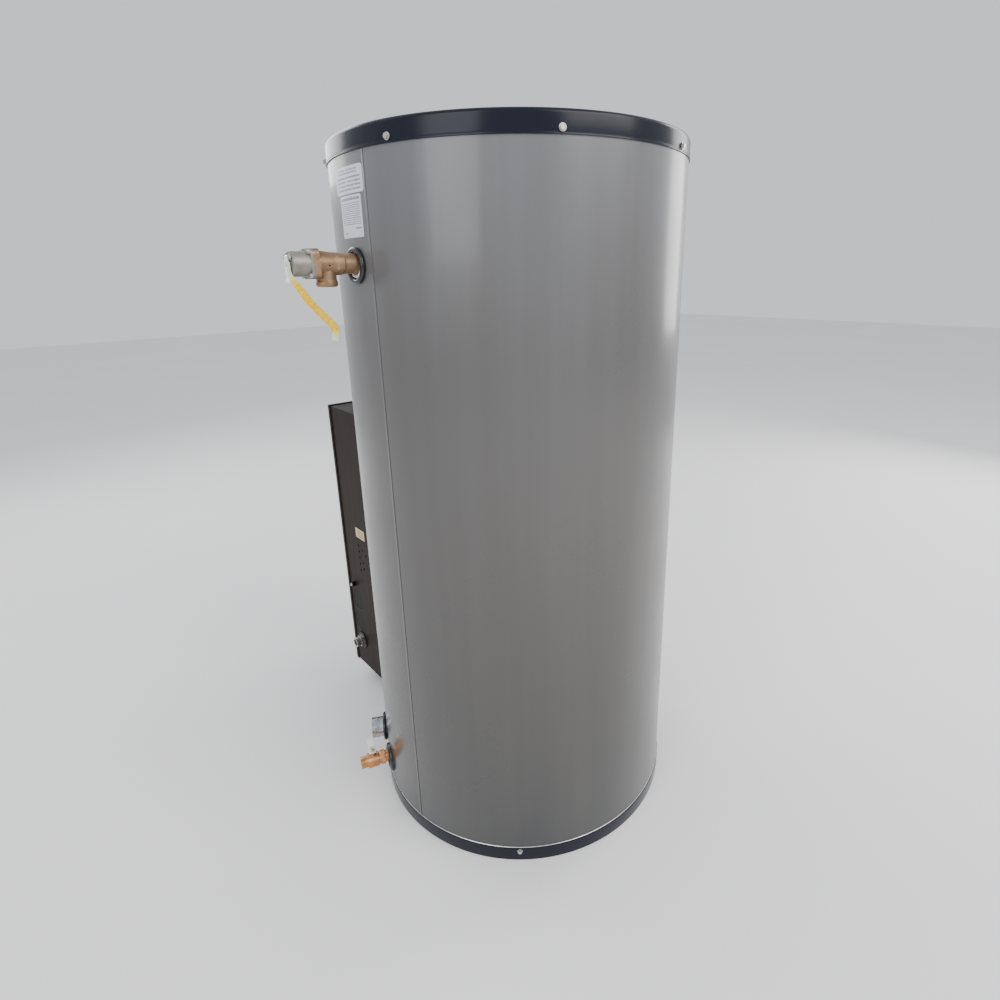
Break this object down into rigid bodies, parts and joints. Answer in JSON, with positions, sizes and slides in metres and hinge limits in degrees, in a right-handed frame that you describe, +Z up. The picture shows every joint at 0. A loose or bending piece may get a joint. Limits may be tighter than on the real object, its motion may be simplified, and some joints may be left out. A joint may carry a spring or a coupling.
{
  "type": "storage water heater",
  "caption": "Tall cylindrical electric storage water heater with a relief valve, ball drain valve and hinged control cabinet.",
  "frame": {"origin": "on the floor, at the tank's vertical axis", "axes": "+Z up along the tank's axis, +X towards the relief valve, -Y towards the control cabinet"},
  "size_m": [0.8414, 0.9669, 1.482],
  "materials": {
    "jacket_paint": "glossy grey paint",
    "cap_paint": "glossy black paint",
    "cabinet_paint": "semi-gloss black paint",
    "vessel_steel": "dull enamel-coated steel",
    "foam": "open-cell foam",
    "bronze": "cast, slightly rough",
    "yellow_brass": "machined",
    "zinc": "zinc plated",
    "spring_steel": "drawn",
    "anode_alloy": "cast",
    "black_plastic": "moulded",
    "yellow_film": "translucent film",
    "ptfe": "turned",
    "label_film": "coated",
    "label_cream": "coated",
    "knob_grey": "moulded",
    "plastic_pipe": "moulded",
    "relay_plastic": "moulded",
    "armature_plastic": "moulded",
    "block_plastic": "moulded",
    "copper": "drawn",
    "wire_cover": "extruded",
    "sensor_plastic": "moulded",
    "dial_plastic": "moulded",
    "button_red": "moulded",
    "element_metal": "nickel alloy",
    "gasket_rubber": "moulded"
  },
  "bodies": {
    "tank": {"anode_rod": "anode_alloy", "bottom_pan": "cap_paint", "cabinet_box": "cabinet_paint", "conduit_connector": "zinc", "conduit_locknut": "zinc", "conduit_plate": "black_plastic", "contactor_1": "relay_plastic", "contactor_2": "relay_plastic", "drain_body": "yellow_brass", "drain_escutcheon": "black_plastic", "drain_seats": "ptfe", "element_1": "element_metal", "element_2": "element_metal", "element_3": "element_metal", "element_bolts": "zinc", "element_gaskets": "gasket_rubber", "ground_lug": "copper", "hinge_fixed": "cabinet_paint", "inlet_diffuser": "plastic_pipe", "inlet_escutcheon": "black_plastic", "inlet_nipple": "zinc", "insulation": "foam", "jacket": "jacket_paint", "jacket_screws": "zinc", "knockout_discs": "cabinet_paint", "label_lower": "label_film", "label_panel": "label_cream", "label_upper": "label_film", "limit_body": "sensor_plastic", "mounting_plate": "zinc", "outlet_nipple": "zinc", "tank_bottom_head": "vessel_steel", "tank_shell": "vessel_steel", "tank_top_head": "vessel_steel", "terminal_block": "block_plastic", "thermostat_body": "sensor_plastic", "top_cap": "cap_paint", "tp_body": "bronze", "tp_bonnet": "zinc", "tp_escutcheon": "black_plastic", "tp_lever_pin": "zinc", "tp_probe": "copper", "tp_screws": "zinc", "tp_spring": "spring_steel", "wires": "wire_cover"},
    "door": {"cabinet_door": "cabinet_paint", "hinge_moving": "cabinet_paint"},
    "door_fastener": {"door_knob": "knob_grey"},
    "side_fastener": {"side_knob": "black_plastic", "side_knob_screw": "zinc"},
    "relief_lever": {"tp_lever": "zinc", "tp_tag": "yellow_film"},
    "relief_poppet": {"tp_poppet": "yellow_brass"},
    "drain_stem": {"drain_ball": "yellow_brass", "drain_handle": "zinc", "drain_nut": "zinc"},
    "temperature_dial": {"thermostat_dial": "dial_plastic"},
    "limit_reset": {"reset_button": "button_red"},
    "armature_upper": {"armature_1": "armature_plastic"},
    "armature_lower": {"armature_2": "armature_plastic"}
  },
  "joints": [
    {"name": "door_swing", "type": "hinge", "parent": "tank", "child": "door", "pos_m": [-0.199, -0.578, 0.4625], "axis": [0, 0, -1], "range_deg": [0, 115]},
    {"name": "door_fastener_turn", "type": "hinge", "parent": "door", "child": "door_fastener", "pos_m": [0.182, -0.592, 0.752], "axis": [0, -1, 0], "range_deg": [0, 90]},
    {"name": "side_fastener_turn", "type": "hinge", "parent": "tank", "child": "side_fastener", "pos_m": [0.192, -0.547, 0.33], "axis": [1, 0, 0], "range_deg": [0, 90]},
    {"name": "relief_lever_lift", "type": "hinge", "parent": "tank", "child": "relief_lever", "pos_m": [0.4765, 0, 1.2545], "axis": [0, -1, 0], "range_deg": [0, 80], "stiffness_Nm_per_rad": 0.05, "springref_deg": -17.19},
    {"name": "relief_poppet_lift", "type": "slide", "parent": "tank", "child": "relief_poppet", "axis": [1, 0, 0], "range_m": [0, 0.0041], "deforming": ["tp_spring"]},
    {"name": "drain_turn", "type": "hinge", "parent": "tank", "child": "drain_stem", "pos_m": [0.38053, -0.11998, 0.09], "axis": [0, 0, 1], "range_deg": [0, 90]},
    {"name": "temperature_dial_turn", "type": "hinge", "parent": "tank", "child": "temperature_dial", "pos_m": [0, -0.34, 0.352], "axis": [0, -1, 0], "range_deg": [0, 270]},
    {"name": "limit_reset_press", "type": "slide", "parent": "tank", "child": "limit_reset", "axis": [0, 1, 0], "range_m": [0, 0.0025], "stiffness_N_per_m": 300},
    {"name": "armature_upper_pull", "type": "slide", "parent": "tank", "child": "armature_upper", "axis": [0, 1, 0], "range_m": [0, 0.004], "stiffness_N_per_m": 300},
    {"name": "armature_lower_pull", "type": "slide", "parent": "tank", "child": "armature_lower", "axis": [0, 1, 0], "range_m": [0, 0.004], "stiffness_N_per_m": 300}
  ],
  "couplings": [
    {"joint": "relief_poppet_lift", "follows": "relief_lever_lift", "m_per_rad": 0.0028648}
  ]
}
